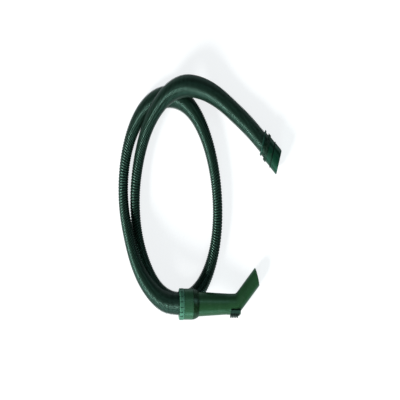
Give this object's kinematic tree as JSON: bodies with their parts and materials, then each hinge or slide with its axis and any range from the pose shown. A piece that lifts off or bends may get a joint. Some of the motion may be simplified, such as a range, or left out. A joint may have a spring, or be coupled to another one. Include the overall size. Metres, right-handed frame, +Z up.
{
  "type": "vacuum cleaner hose",
  "caption": "Ribbed vacuum cleaner hose lying in one and a half turns, with a bent swivelling handle, suction slider and a ringed swivelling machine cuff.",
  "frame": {"origin": "on the floor under the middle of the box round the handle and the machine cuff", "axes": "+X along the handle from the hose to the wand end, +Y across the hose's loop towards the cuff, +Z up from the floor"},
  "size_m": [0.6602, 0.4235, 0.1033],
  "materials": {
    "hose_plastic": "ribbed flexible plastic, satin",
    "handle_plastic": "moulded plastic, soft gloss",
    "ring_plastic": "moulded plastic, soft gloss",
    "slider_plastic": "moulded plastic, satin",
    "bearing_plastic": "natural acetal",
    "seal_rubber": "black rubber",
    "spring_steel": "blued spring steel"
  },
  "bodies": {
    "hose": {"hose_tube": "hose_plastic", "handle_hose_sleeve": "ring_plastic", "cuff_ferrule": "ring_plastic", "cuff_hose_sleeve": "ring_plastic"},
    "handle": {"handle_tube": "handle_plastic", "swivel_collar": "handle_plastic", "lock_ring": "ring_plastic", "shoulder_ring": "ring_plastic", "front_thrust_ring": "bearing_plastic", "rear_thrust_ring": "bearing_plastic", "handle_lip_seal": "seal_rubber"},
    "slider": {"suction_slider": "slider_plastic", "slider_seal": "seal_rubber", "slider_spring": "spring_steel"},
    "cuff": {"cuff_tube": "handle_plastic", "cuff_grip_ring": "slider_plastic", "cuff_front_thrust_ring": "bearing_plastic", "cuff_rear_thrust_ring": "bearing_plastic", "cuff_lip_seal": "seal_rubber", "cuff_bead_seal": "seal_rubber"}
  },
  "joints": [
    {"name": "handle_swivel", "type": "hinge", "parent": "hose", "child": "handle", "pos_m": [-0.2055, -0.137, 0.076], "axis": [0.9841, 0, -0.1777], "continuous": true},
    {"name": "suction_slide", "type": "slide", "parent": "handle", "child": "slider", "axis": [-0.9841, 0, 0.1777], "range_m": [0, 0.012]},
    {"name": "cuff_swivel", "type": "hinge", "parent": "hose", "child": "cuff", "pos_m": [0.1322, 0.1434, 0.0256], "axis": [0.8862, -0.4633, 0], "continuous": true}
  ]
}
